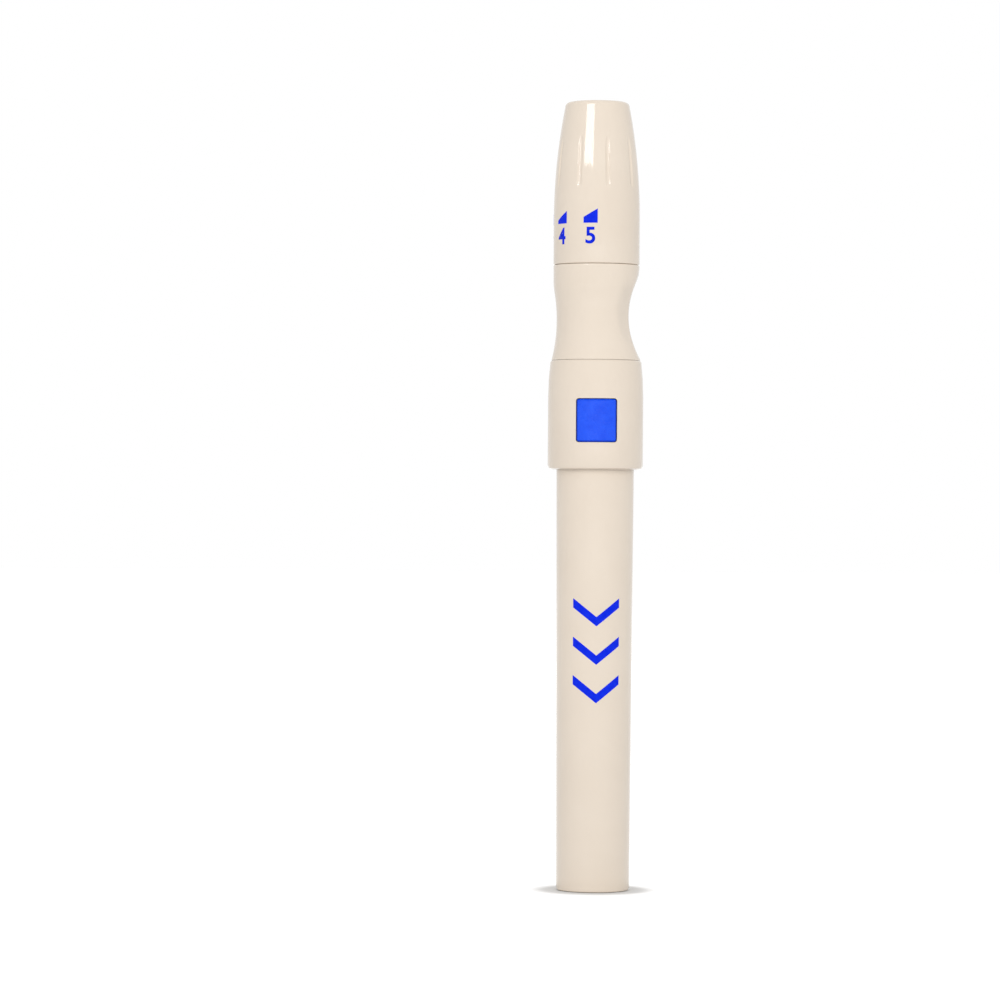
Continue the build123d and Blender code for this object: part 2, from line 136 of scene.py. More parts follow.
class Graph:
    """The node tree of one material, with short calls to add and join nodes."""

    def __init__(self, name: str) -> None:
        """Starts an empty material.

        Args:
            name: The material's name.
        """
        self.material = bpy.data.materials.new(name)
        self.material.use_nodes = True
        self.tree = self.material.node_tree
        self.tree.nodes.clear()
        self.place = self.add("ShaderNodeTexCoord").outputs["Object"]

    def add(self, kind: str, **inputs: Any) -> bpy.types.Node:
        """Adds a node and fills its inputs.

        Args:
            kind: The node's type name.
            inputs: Values or sockets by input name, with underscores for spaces.

        Returns:
            The new node.
        """
        node = self.tree.nodes.new(kind)
        for name, value in inputs.items():
            socket = node.inputs[name.replace("_", " ")]
            if isinstance(value, bpy.types.NodeSocket):
                self.tree.links.new(value, socket)
            else:
                socket.default_value = value
        return node

    def noise(self, feature_mm: float, detail: float = 2.0) -> bpy.types.NodeSocket:
        """Adds a noise on the piece's own coordinates.

        Args:
            feature_mm: The size of its features.
            detail: How many finer layers it has.

        Returns:
            The noise's value.
        """
        scale = 1 / (feature_mm * MM)
        node = self.add("ShaderNodeTexNoise", Vector=self.place, Scale=scale, Detail=detail)
        return node.outputs["Fac"]

    def spread(
        self, value: bpy.types.NodeSocket, low: float = 0.0, high: float = 1.0
    ) -> bpy.types.NodeSocket:
        """Spreads the middle of a noise over a range.

        Args:
            value: The noise.
            low: What its dark parts become.
            high: What its light parts become.

        Returns:
            The value in its new range.
        """
        node = self.add(
            "ShaderNodeMapRange",
            Value=value,
            From_Min=NOISE_LOW,
            From_Max=NOISE_HIGH,
            To_Min=low,
            To_Max=high,
        )
        return node.outputs["Result"]

    def blend(
        self, share: bpy.types.NodeSocket, first: Colour, second: Colour
    ) -> bpy.types.NodeSocket:
        """Mixes two colours.

        Args:
            share: How much of the second colour shows.
            first: The colour at 0.
            second: The colour at 1.

        Returns:
            The mixed colour.
        """
        node = self.tree.nodes.new("ShaderNodeMix")
        node.data_type = "RGBA"
        self.tree.links.new(share, node.inputs[0])
        node.inputs[MIX_FIRST].default_value = (*first, 1.0)
        node.inputs[MIX_SECOND].default_value = (*second, 1.0)
        return node.outputs[MIX_RESULT]

    def bump(self, height: bpy.types.NodeSocket, depth_mm: float) -> bpy.types.NodeSocket:
        """Turns a value into relief.

        Args:
            height: The relief's height, from 0 to 1.
            depth_mm: How deep the relief is.

        Returns:
            The bent normal.
        """
        node = self.add("ShaderNodeBump", Height=height, Distance=depth_mm * MM, Strength=1.0)
        return node.outputs["Normal"]

    def finish(self, shader: bpy.types.Node) -> bpy.types.Material:
        """Joins a shader to the output.

        Args:
            shader: The last shader node.

        Returns:
            The finished material.
        """
        output = self.add("ShaderNodeOutputMaterial")
        self.tree.links.new(shader.outputs[0], output.inputs["Surface"])
        return self.material


@dataclass(frozen=True)
class MouldedPlastic:
    """Injection-moulded plastic with faint clouds, a fine grain and patches of softer gloss."""

    name: str
    colour: Colour
    cloud: Colour
    gloss_roughness: float
    soft_roughness: float
    ior: float = 1.5
    cloud_mm: float = 9.0
    cloud_detail: float = 4.0
    patch_mm: float = 4.0
    patch_detail: float = 3.0
    grain_mm: float = 0.22
    grain_depth_mm: float = 0.0012

    def material(self) -> bpy.types.Material:
        """Makes the node material.

        Returns:
            The material.
        """
        graph = Graph(self.name)
        clouds = graph.spread(graph.noise(self.cloud_mm, self.cloud_detail))
        colour = graph.blend(clouds, self.colour, self.cloud)
        patches = graph.noise(self.patch_mm, self.patch_detail)
        shader = graph.add(
            "ShaderNodeBsdfPrincipled",
            Base_Color=colour,
            Roughness=graph.spread(patches, self.gloss_roughness, self.soft_roughness),
            Normal=graph.bump(graph.noise(self.grain_mm), self.grain_depth_mm),
            IOR=self.ior,
        )
        return graph.finish(shader)


@dataclass(frozen=True)
class DrawnWire:
    """Drawn spring steel, finely speckled with duller spots."""

    name: str
    bright: Colour
    dull: Colour
    bright_roughness: float = 0.22
    dull_roughness: float = 0.4
    speckle_mm: float = 0.12
    speckle_detail: float = 3.0

    def material(self) -> bpy.types.Material:
        """Makes the node material.

        Returns:
            The material.
        """
        graph = Graph(self.name)
        speckles = graph.noise(self.speckle_mm, self.speckle_detail)
        shader = graph.add(
            "ShaderNodeBsdfPrincipled",
            Base_Color=graph.blend(graph.spread(speckles), self.bright, self.dull),
            Metallic=1.0,
            Roughness=graph.spread(speckles, self.bright_roughness, self.dull_roughness),
        )
        return graph.finish(shader)


@dataclass(frozen=True)
class PadInk:
    """Pad-printed ink, a little uneven in cover."""

    name: str
    full: Colour
    thin: Colour
    full_roughness: float = 0.35
    thin_roughness: float = 0.5
    ior: float = 1.15
    patch_mm: float = 0.7
    patch_detail: float = 4.0
    grain_mm: float = 0.15
    grain_depth_mm: float = 0.001

    def material(self) -> bpy.types.Material:
        """Makes the node material.

        Returns:
            The material.
        """
        graph = Graph(self.name)
        cover = graph.spread(graph.noise(self.patch_mm, self.patch_detail))
        shader = graph.add(
            "ShaderNodeBsdfPrincipled",
            Base_Color=graph.blend(cover, self.full, self.thin),
            Roughness=graph.spread(cover, self.full_roughness, self.thin_roughness),
            Normal=graph.bump(graph.noise(self.grain_mm), self.grain_depth_mm),
            IOR=self.ior,
        )
        return graph.finish(shader)


class Finishes:
    """The finishes of the pen, each made into a material once."""

    def __init__(self) -> None:
        """Makes every material."""
        self.ivory = MouldedPlastic(
            "ivory_plastic",
            colour=(0.825, 0.722, 0.608),
            cloud=(0.8, 0.695, 0.58),
            gloss_roughness=0.06,
            soft_roughness=0.1,
        ).material()
        self.blue = MouldedPlastic(
            "blue_plastic",
            colour=(0.004, 0.075, 0.86),
            cloud=(0.01, 0.1, 0.95),
            gloss_roughness=0.2,
            soft_roughness=0.34,
            ior=1.38,
            cloud_mm=1.2,
            patch_mm=2.0,
        ).material()
        self.white = MouldedPlastic(
            "white_plastic",
            colour=(0.8, 0.8, 0.78),
            cloud=(0.75, 0.75, 0.73),
            gloss_roughness=0.38,
            soft_roughness=0.5,
        ).material()
        self.steel = DrawnWire(
            "spring_steel", bright=(0.62, 0.62, 0.64), dull=(0.42, 0.42, 0.44)
        ).material()
        self.ink = PadInk(
            "blue_ink", full=(0.002, 0.018, 0.74), thin=(0.006, 0.032, 0.84)
        ).material()


def add_object(name: str, data: bpy.types.ID) -> bpy.types.Object:
    """Puts a mesh, a light or a camera into the scene.

    Args:
        name: The new object's name.
        data: What it shows.

    Returns:
        The new object.
    """
    piece = bpy.data.objects.new(name, data)
    bpy.context.scene.collection.objects.link(piece)
    return piece


def activate(piece: bpy.types.Object) -> None:
    """Selects one piece alone and makes it active.

    Args:
        piece: The piece to work on.
    """
    bpy.ops.object.select_all(action="DESELECT")
    piece.select_set(True)
    bpy.context.view_layer.objects.active = piece


@contextmanager
def editing(piece: bpy.types.Object) -> Iterator[None]:
    """Opens a piece in edit mode, in vertex mode, for the length of a with block.

    Args:
        piece: The piece to edit.

    Yields:
        Nothing.
    """
    activate(piece)
    bpy.ops.object.mode_set(mode="EDIT")
    bpy.ops.mesh.select_mode(type="VERT")
    yield
    bpy.ops.object.mode_set(mode="OBJECT")


def weld() -> None:
    """Selects all of the piece in edit mode and joins the points that lie in one place."""
    bpy.ops.mesh.select_all(action="SELECT")
    bpy.ops.mesh.remove_doubles(threshold=MERGE_DISTANCE)


def face_outwards() -> None:
    """Selects all of the piece in edit mode and makes its faces look outwards."""
    bpy.ops.mesh.select_all(action="SELECT")
    bpy.ops.mesh.normals_make_consistent(inside=False)


def apply_modifier(piece: bpy.types.Object, kind: str, **settings: Any) -> None:
    """Adds a modifier, sets it and applies it.

    Args:
        piece: The piece that gets it.
        kind: The modifier's type name.
        settings: The modifier's values.
    """
    activate(piece)
    modifier = piece.modifiers.new(kind.lower(), kind)
    for name, value in settings.items():
        setattr(modifier, name, value)
    bpy.ops.object.modifier_apply(modifier=modifier.name)


def smooth(piece: bpy.types.Object, degrees: float = 38.0) -> None:
    """Shades a piece smooth across all but its real edges.

    Args:
        piece: The piece to shade.
        degrees: The angle from which an edge stays sharp.
    """
    activate(piece)
    bpy.ops.object.shade_smooth_by_angle(angle=math.radians(degrees))


def draw_outline(name: str, outline: Outline) -> bpy.types.Object:
    """Draws a closed outline in the XZ plane as a loop of edges.

    Args:
        name: The new piece's name.
        outline: Its corners, as distance along X and height.

    Returns:
        The loop.
    """
    bpy.ops.mesh.primitive_plane_add(size=MM)
    piece = bpy.context.object
    piece.name = name
    piece.data.name = name
    with editing(piece):
        bpy.ops.mesh.select_all(action="SELECT")
        bpy.ops.mesh.merge(type="CENTER")
        along, height = outline[0]
        bpy.ops.transform.translate(value=(along * MM, 0, height * MM))
        for (x, z), (next_x, next_z) in zip(outline, outline[1:] + outline[:1]):
            step = ((next_x - x) * MM, 0, (next_z - z) * MM)
            bpy.ops.mesh.extrude_vertices_move(TRANSFORM_OT_translate={"value": step})
        weld()
    return piece


def flat_face(name: str, outline: Outline) -> bpy.types.Object:
    """Fills a closed outline in the XZ plane with one face.

    Args:
        name: The new piece's name.
        outline: Its corners, as distance along X and height.

    Returns:
        The flat piece.
    """
    piece = draw_outline(name, outline)
    with editing(piece):
        bpy.ops.mesh.select_all(action="SELECT")
        bpy.ops.mesh.edge_face_add()
    return piece


def lathe(name: str, outline: Outline, steps: int) -> bpy.types.Object:
    """Spins a closed outline round the pen's axis.

    Args:
        name: The new piece's name.
        outline: Its corners, as radius and height.
        steps: How many steps a full turn has.

    Returns:
        The turned piece.
    """
    piece = draw_outline(name, outline)
    with editing(piece):
        bpy.ops.mesh.select_all(action="SELECT")
        bpy.ops.mesh.spin(steps=steps, angle=math.tau, center=(0, 0, 0), axis=(0, 0, 1))
        weld()
        face_outwards()
    return piece


def merged_copy(name: str, node: bpy.types.Object) -> bpy.types.Object:
    """Copies a CAD piece and joins its loose triangles into one skin.

    Args:
        name: The new piece's name.
        node: The CAD piece.

    Returns:
        The copy, shaded smooth.
    """
    piece = add_object(name, node.data.copy())
    piece.data.name = name
    with editing(piece):
        weld()
        bpy.ops.mesh.customdata_custom_splitnormals_clear()
    smooth(piece)
    return piece


def hollow_points(
    node: bpy.types.Object, free: list[bpy.types.MeshVertex], deepest_mm: float
) -> list[int]:
    """Finds the points of a turned skin that stand over a hollow of the CAD piece below.

    Args:
        node: The CAD piece.
        free: The skin's points that may move.
        deepest_mm: How deep the hollows are at most.

    Returns:
        Which of the points stand over a hollow.
    """
    rings: dict[float, dict[int, float]] = {}
    for vertex in free:
        lifted = vertex.co + vertex.normal * SKIN_LIFT
        hit, place, _, _ = node.ray_cast(lifted, -vertex.normal, distance=deepest_mm * MM)
        if hit:
            ring = rings.setdefault(round(vertex.co.z / MM, 3), {})
            ring[vertex.index] = (place - lifted).length
    found = []
    for ring in rings.values():
        level = median(ring.values()) + HOLLOW_STEP
        found += [index for index, depth in ring.items() if depth > level]
    return found


def settle(
    piece: bpy.types.Object,
    node: bpy.types.Object,
    zone: Callable[[Vector], bool],
    deepest_mm: float,
    rounds: int,
    crispness: float = 1.0,
) -> None:
    """Presses a turned skin into a CAD piece's flutes or scoop and rounds the edges there.

    Args:
        piece: The skin.
        node: The CAD piece below it.
        zone: Tells whether a point of the skin may move.
        deepest_mm: How deep the hollows are at most.
        rounds: How often the skin is relaxed.
        crispness: How much deeper the skin goes than the hollows, because relaxing flattens it.
    """
    free = [v for v in piece.data.vertices if zone(v.co)]
    hollow = hollow_points(node, free, deepest_mm)
    piece.vertex_groups.new(name="free").add([v.index for v in free], 1.0, "REPLACE")
    piece.vertex_groups.new(name="hollow").add(hollow, 1.0, "REPLACE")
    turned = {index: piece.data.vertices[index].co.copy() for index in hollow}
    apply_modifier(
        piece,
        "SHRINKWRAP",
        target=node,
        wrap_method="PROJECT",
        use_negative_direction=True,
        use_positive_direction=False,
        project_limit=deepest_mm * MM,
        vertex_group="hollow",
    )
    for index, start in turned.items():
        vertex = piece.data.vertices[index]
        vertex.co = start.lerp(vertex.co, crispness)
    apply_modifier(piece, "SMOOTH", factor=RELAX_SHARE, iterations=rounds, vertex_group="free")
    piece.vertex_groups.clear()


def print_on(
    piece: bpy.types.Object,
    shell: bpy.types.Object,
    strip_mm: float,
    ink_mm: float,
    reach_mm: float,
) -> None:
    """Wraps a flat print that faces the front onto a round shell, as a thin film of ink.

    Args:
        piece: The flat print, in the XZ plane.
        shell: What it is printed on.
        strip_mm: The width of the strips that follow the curve.
        ink_mm: The film's thickness.
        reach_mm: How far to either side of its middle it is cut into strips.
    """
    with editing(piece):
        weld()
        bpy.ops.mesh.dissolve_limited(angle_limit=FLAT_ANGLE)
        count = math.ceil(reach_mm / strip_mm)
        for i in range(-count, count + 1):
            bpy.ops.mesh.select_all(action="SELECT")
            bpy.ops.mesh.bisect(plane_co=(i * strip_mm * MM, 0, 0), plane_no=(1, 0, 0))
        weld()
        bpy.ops.transform.translate(value=(0, -shell.dimensions.x, 0))
    apply_modifier(
        piece,
        "SHRINKWRAP",
        target=shell,
        wrap_method="PROJECT",
        use_project_y=True,
        use_negative_direction=False,
        use_positive_direction=True,
        offset=ink_mm * MM / 2,
        wrap_mode="ABOVE_SURFACE",
    )
    with editing(piece):
        face_outwards()
    if sum(p.normal.y for p in piece.data.polygons) > 0:
        piece.data.flip_normals()
    apply_modifier(piece, "SOLIDIFY", thickness=ink_mm * MM, offset=-1.0)


def turn(piece: bpy.types.Object, degrees: float) -> None:
    """Turns a piece's mesh round the pen's axis, to the right as seen from the front.

    Args:
        piece: The piece.
        degrees: How far it turns.
    """
    piece.data.transform(Matrix.Rotation(math.radians(degrees), 4, "Z"))


def copy_of(piece: bpy.types.Object, rise_mm: float) -> bpy.types.Object:
    """Copies a piece with a mesh of its own, higher or lower on the pen.

    Args:
        piece: The piece.
        rise_mm: How much higher the copy is.

    Returns:
        The copy.
    """
    other = add_object(piece.name, piece.data.copy())
    other.data.transform(Matrix.Translation((0, 0, rise_mm * MM)))
    return other


def join(name: str, pieces: list[bpy.types.Object]) -> bpy.types.Object:
    """Joins pieces into one.

    Args:
        name: The joined piece's name.
        pieces: The pieces.

    Returns:
        The joined piece.
    """
    activate(pieces[0])
    for piece in pieces:
        piece.select_set(True)
    bpy.ops.object.join()
    joined = bpy.context.object
    joined.name = name
    joined.data.name = name
    return joined


def dress(piece: bpy.types.Object, material: bpy.types.Material) -> None:
    """Gives a piece one material all over.

    Args:
        piece: The piece.
        material: Its finish.
    """
    piece.data.materials.clear()
    piece.data.materials.append(material)


def fit(
    piece: bpy.types.Object, material: bpy.types.Material, body: Body, slot: Slot, *nodes: str
) -> None:
    """Dresses a finished piece and hangs it on its body in place of CAD nodes.

    Args:
        piece: The finished piece.
        material: Its finish.
        body: The body that it rides on.
        slot: Not used.
        nodes: The CAD nodes that it stands for, if any.
    """
    dress(piece, material)
    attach(piece, body.value)
    if nodes:
        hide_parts(*nodes)
    LOG.info("%s rides on %s, %d faces", piece.name, body.value, len(piece.data.polygons))


def stretch(start: tuple[float, float], end: tuple[float, float], step: float) -> Outline:
    """Divides a straight stretch of an outline, without its end point.

    Args:
        start: Where it starts.
        end: Where it ends.
        step: The longest step.

    Returns:
        The points.
    """
    count = max(1, math.ceil(math.dist(start, end) / step))
    return [
        (start[0] + (end[0] - start[0]) * i / count, start[1] + (end[1] - start[1]) * i / count)
        for i in range(count)
    ]


def even_steps(start: float, end: float, step: float) -> list[float]:
    """Divides a height evenly, without its end.

    Args:
        start: Where it starts.
        end: Where it ends.
        step: About how long the steps are.

    Returns:
        The heights.
    """
    count = round((end - start) / step)
    return [start + (end - start) * i / count for i in range(count)]


def quarter_round(
    centre: tuple[float, float], radius: float, start_deg: float, steps: int
) -> Outline:
    """A quarter of a circle, turned anticlockwise.

    Args:
        centre: The circle's centre.
        radius: Its radius.
        start_deg: The angle where it starts.
        steps: How many steps it has.

    Returns:
        The points, both ends included.
    """
    angles = [math.radians(start_deg + 90 * i / steps) for i in range(steps + 1)]
    return [(centre[0] + radius * math.cos(a), centre[1] + radius * math.sin(a)) for a in angles]


@dataclass
class DepthDial:
    """The fluted nose piece with its ring of depth numbers."""

    finishes: Finishes
    node: bpy.types.Object
    steps: int = 540
    nose_radius: float = 5.25
    nose_edge: float = 0.8
    nose_edge_steps: int = 8
    hole_radius: float = 3.2
    hole_edge: float = 0.4
    hole_edge_steps: int = 4
    nose_wall: float = 1.5
    nose_bore: float = 4.2
    nose_bore_depth: float = 8.5
    stop_bore: float = 5.18
    socket_radius: float = 5.65
    socket_depth: float = 4.85
    groove_radius: float = 5.95
    groove_low: float = 1.85
    groove_width: float = 1.0
    seam_edge: float = 0.2
    seam_edge_steps: int = 3
    straight: float = 7.45
    flute_low: float = 10.8
    flute_high: float = 22.4
    flute_search: float = 0.8
    flute_rounds: int = 3
    flute_crispness: float = 1.6
    ring_step: float = 0.2
    number_count: int = 5
    number_pitch: float = 45.0
    last_number_azimuth: float = -9.6
    digit_low: float = 3.1
    digit_height: float = 2.7
    digit_bolder: float = 0.022
    wedge_low: float = 6.45
    wedge_width: float = 2.3
    wedge_right: float = 2.3
    wedge_right_step: float = 0.3
    wedge_left: float = 0.95
    wedge_left_step: float = 0.4
    wedge_left_least: float = 0.2
    ink: float = 0.03
    strip: float = 0.2

    def __post_init__(self) -> None:
        """Reads the seam, the tip and the radius from the frame."""
        low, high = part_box("depth_dial")
        self.seam = low.z / MM
        self.tip = high.z / MM
        self.radius = high.x / MM

    def nose_curve(self, height: float) -> float:
        """Radius of the outside at a height above the straight foot.

        Args:
            height: The height.

        Returns:
            The radius.
        """
        foot = self.seam + self.straight
        rise = self.tip - self.nose_edge - foot
        fall = self.radius - self.nose_radius
        bend = (rise**2 + fall**2) / (2 * fall)
        return self.radius - bend + math.sqrt(bend**2 - (height - foot) ** 2)

    def outline(self) -> Outline:
        """Half of the dial's section.

        Returns:
            Its corners, first up the outside and then down the bore.
        """
        foot = self.seam + self.straight
        shoulder = self.tip - self.nose_edge
        heights = even_steps(foot, shoulder, self.ring_step)
        groove_low = self.seam + self.groove_low
        groove_high = groove_low + self.groove_width
        seam_round = (self.radius - self.seam_edge, self.seam + self.seam_edge)
        nose_round = (self.nose_radius - self.nose_edge, shoulder)
        hole_round = (self.hole_radius + self.hole_edge, self.tip - self.hole_edge)
        return [
            *quarter_round(seam_round, self.seam_edge, -90, self.seam_edge_steps),
            *[(self.nose_curve(height), height) for height in heights],
            *quarter_round(nose_round, self.nose_edge, 0, self.nose_edge_steps),
            *quarter_round(hole_round, self.hole_edge, 90, self.hole_edge_steps),
            (self.hole_radius, self.tip - self.nose_wall),
            (self.nose_bore, self.tip - self.nose_wall),
            (self.nose_bore, self.tip - self.nose_bore_depth),
            (self.stop_bore, self.tip - self.nose_bore_depth),
            (self.stop_bore, self.seam + self.socket_depth),
            (self.socket_radius, self.seam + self.socket_depth),
            (self.socket_radius, groove_high),
            (self.groove_radius, groove_high),
            (self.groove_radius, groove_low),
            (self.socket_radius, groove_low),
            (self.socket_radius, self.seam),
        ]

    def is_fluted(self, point: Vector) -> bool:
        """Tells whether a point of the skin is on the outside between the flutes' ends.

        Args:
            point: The point.

        Returns:
            Whether it may settle into a flute.
        """
        height = point.z / MM - self.seam
        outside = math.hypot(point.x, point.y) / MM > self.stop_bore + self.ring_step
        return outside and self.flute_low < height < self.flute_high

    def digit(self, number: int) -> bpy.types.Object:
        """One number as a flat mesh that faces the front.

        Args:
            number: The number.

        Returns:
            The flat number.
        """
        bpy.ops.object.text_add(location=(0, 0, 0))
        text = bpy.context.object
        text.name = f"number_{number}"
        text.data.body = str(number)
        text.data.align_x = "CENTER"
        text.data.offset = self.digit_bolder
        bpy.ops.object.convert(target="MESH")
        low = min(v.co.y for v in text.data.vertices)
        high = max(v.co.y for v in text.data.vertices)
        size = self.digit_height * MM / (high - low)
        base = (self.seam + self.digit_low) * MM
        upright = Matrix.Rotation(math.radians(90), 4, "X") @ Matrix.Scale(size, 4)
        text.data.transform(Matrix.Translation((0, 0, base - low * size)) @ upright)
        return text

    def wedge(self, number: int) -> bpy.types.Object:
        """The marker above one number, taller to the right and for deeper settings.

        Args:
            number: The number.

        Returns:
            The flat marker.
        """
        half = self.wedge_width / 2
        base = self.seam + self.wedge_low
        below = self.number_count - number
        right = self.wedge_right - below * self.wedge_right_step
        left = max(self.wedge_left - below * self.wedge_left_step, self.wedge_left_least)
        corners = [(-half, base), (half, base), (half, base + right), (-half, base + left)]
        return flat_face(f"wedge_{number}", corners)

    def build(self) -> None:
        """Turns the shell, presses the flutes in and prints the numbers."""
        shell = lathe("dial_shell", self.outline(), self.steps)
        settle(
            shell,
            self.node,
            self.is_fluted,
            self.flute_search,
            self.flute_rounds,
            self.flute_crispness,
        )
        smooth(shell)
        prints = []
        for number in range(1, self.number_count + 1):
            azimuth = self.last_number_azimuth - self.number_pitch * (self.number_count - number)
            for piece in (self.digit(number), self.wedge(number)):
                print_on(piece, shell, self.strip, self.ink, self.wedge_width)
                turn(piece, azimuth)
                prints.append(piece)
        numbers = join("dial_numbers", prints)
        fit(shell, self.finishes.ivory, Body.DIAL, Slot.IVORY, "depth_dial")
        fit(numbers, self.finishes.ink, Body.DIAL, Slot.BLUE)


@dataclass
class CapNeck:
    """The waisted part of the cap with its thumb scoop."""

    finishes: Finishes
    node: bpy.types.Object
    steps: int = 240
    foot_length: float = 5.05
    foot_radius: float = 6.1
    foot_bore: float = 5.0
    foot_bore_rise: float = 6.0
    bore: float = 4.2
    spigot_length: float = 4.7
    spigot_radius: float = 5.6
    bead_radius: float = 5.85
    bead_rise: float = 2.0
    bead_width: float = 0.8
    shoulder_radius: float = 7.0
    shoulder: float = 3.5
    seam_edge: float = 0.2
    seam_edge_steps: int = 3
    waist_radius: float = 6.45
    waist_rise: float = 7.15
    flare_radius: float = 7.25
    scoop_search: float = 1.8
    scoop_rounds: int = 50
    ring_step: float = 0.3
    slot_length: float = 23.4
    slot_width: float = 2.2
    slot_over: float = 1.0
    key_width: float = 1.6
    key_height: float = 0.35
    block_gap: float = 0.01

    def __post_init__(self) -> None:
        """Reads the foot and the spigot's end from the frame."""
        low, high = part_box("cap_neck")
        self.foot = low.z / MM
        self.top = high.z / MM
        self.seam = self.top - self.spigot_length
        self.flare = self.foot + self.foot_length

    def waist(self) -> Outline:
        """The arc from the flare up through the waist to the shoulder.

        Returns:
            Its points.
        """
        low = Vector((self.flare_radius, self.flare))
        middle = Vector((self.waist_radius, self.flare + self.waist_rise))
        high = Vector((self.shoulder_radius, self.seam - self.shoulder))
        first, second = middle - low, high - low
        area = 2 * (first.x * second.y - first.y * second.x)
        centre = low + Vector(
            (
                (second.y * first.length_squared - first.y * second.length_squared) / area,
                (first.x * second.length_squared - second.x * first.length_squared) / area,
            )
        )
        bend = (low - centre).length
        return [
            (centre.x - math.sqrt(bend**2 - (height - centre.y) ** 2), height)
            for height in even_steps(low.y, high.y, self.ring_step)
        ]

    def outline(self) -> Outline:
        """Half of the neck's section.

        Returns:
            Its corners, first up the outside and then down the bore.
        """
        bead_low = self.seam + self.bead_rise
        bead_high = bead_low + self.bead_width
        step = self.foot + self.foot_bore_rise
        seam_round = (self.shoulder_radius - self.seam_edge, self.seam - self.seam_edge)
        shoulder_low = (self.shoulder_radius, self.seam - self.shoulder)
        shoulder_high = (self.shoulder_radius, self.seam - self.seam_edge)
        return [
            (self.foot_radius, self.foot),
            (self.foot_radius, self.flare),
            *self.waist(),
            *stretch(shoulder_low, shoulder_high, self.ring_step),
            *quarter_round(seam_round, self.seam_edge, 0, self.seam_edge_steps),
            (self.spigot_radius, self.seam),
            (self.spigot_radius, bead_low),
            (self.bead_radius, bead_low),
            (self.bead_radius, bead_high),
            (self.spigot_radius, bead_high),
            (self.spigot_radius, self.top),
            (self.bore, self.top),
            (self.bore, step),
            (self.foot_bore, step),
            (self.foot_bore, self.foot),
        ]

    def is_scooped(self, point: Vector) -> bool:
        """Tells whether a point of the skin is on the waist.

        Args:
            point: The point.

        Returns:
            Whether it may settle into the scoop.
        """
        height = point.z / MM
        outside = math.hypot(point.x, point.y) / MM > self.foot_radius
        return outside and self.flare + self.ring_step < height < self.seam - 2 * self.seam_edge

    def block(
        self, name: str, size: tuple[float, float, float], place: tuple[float, float, float]
    ) -> bpy.types.Object:
        """A block that cuts or adds to the shell.

        Args:
            name: Its name.
            size: Its three sizes.
            place: Its centre.

        Returns:
            The block.
        """
        bpy.ops.mesh.primitive_cube_add(size=MM, location=[c * MM for c in place], scale=size)
        piece = bpy.context.object
        piece.name = name
        bpy.ops.object.transform_apply(location=True, rotation=True, scale=True)
        return piece

    def build(self) -> None:
        """Turns the shell, presses the scoop in, then cuts the slots and adds the key."""
        shell = lathe("neck_shell", self.outline(), self.steps)
        settle(shell, self.node, self.is_scooped, self.scoop_search, self.scoop_rounds)
        slot_low, slot_high = self.seam + self.block_gap, self.top + self.slot_over
        slots = self.block(
            "slots",
            (self.slot_length, self.slot_width, slot_high - slot_low),
            (0, 0, (slot_low + slot_high) / 2),
        )
        key_low, key_high = self.foot + self.block_gap, self.flare - self.block_gap
        key = self.block(
            "key",
            (self.key_width, 2 * self.key_height, key_high - key_low),
            (0, self.foot_radius, (key_low + key_high) / 2),
        )
        for block, operation in ((slots, "DIFFERENCE"), (key, "UNION")):
            apply_modifier(shell, "BOOLEAN", object=block, operation=operation, solver="EXACT")
            bpy.data.objects.remove(block)
        smooth(shell)
        fit(shell, self.finishes.ivory, Body.CAP, Slot.IVORY, "cap_neck")


@dataclass
class Grip:
    """The collar and the release button in its window."""

    finishes: Finishes
    nodes: dict[str, bpy.types.Object]

    def build(self) -> None:
        """Smooths the collar and the button."""
        collar = merged_copy("collar_shell", self.nodes["grip_collar"])
        fit(collar, self.finishes.ivory, Body.BODY, Slot.IVORY, "grip_collar")
        button = merged_copy("button_block", self.nodes["release_button"])
        fit(button, self.finishes.blue, Body.BUTTON, Slot.BLUE, "release_button")


@dataclass
class Sleeve:
    """The cocking sleeve with its end cap and the printed pull marks."""

    finishes: Finishes
    nodes: dict[str, bpy.types.Object]
    mark_count: int = 3
    mark_top: float = 47.5
    mark_pitch: float = 6.2
    mark_width: float = 7.4
    mark_rise: float = 3.0
    mark_stroke: float = 1.5
    mark_azimuth: float = 2.0
    ink: float = 0.03
    strip: float = 0.25

    def chevron(self) -> bpy.types.Object:
        """The uppermost chevron, flat, pointing to the tail.

        Returns:
            The flat mark.
        """
        half = self.mark_width / 2
        top = self.mark_top
        corners = [
            (-half, top),
            (-half, top - self.mark_stroke),
            (0, top - self.mark_stroke - self.mark_rise),
            (half, top - self.mark_stroke),
            (half, top),
            (0, top - self.mark_rise),
        ]
        return flat_face("chevron", corners)

    def build(self) -> None:
        """Smooths the sleeve and its end cap, and prints the marks."""
        shell = merged_copy("sleeve_shell", self.nodes["cocking_sleeve"])
        marks = [self.chevron()]
        marks += [copy_of(marks[0], -i * self.mark_pitch) for i in range(1, self.mark_count)]
        for mark in marks:
            print_on(mark, shell, self.strip, self.ink, self.mark_width / 2)
            turn(mark, self.mark_azimuth)
        pull_marks = join("pull_marks", marks)
        cap = merged_copy("tail_disc", self.nodes["end_cap"])
        fit(shell, self.finishes.ivory, Body.SLEEVE, Slot.IVORY, "cocking_sleeve")
        fit(pull_marks, self.finishes.ink, Body.SLEEVE, Slot.BLUE)
        fit(cap, self.finishes.ivory, Body.SLEEVE, Slot.IVORY, "end_cap")


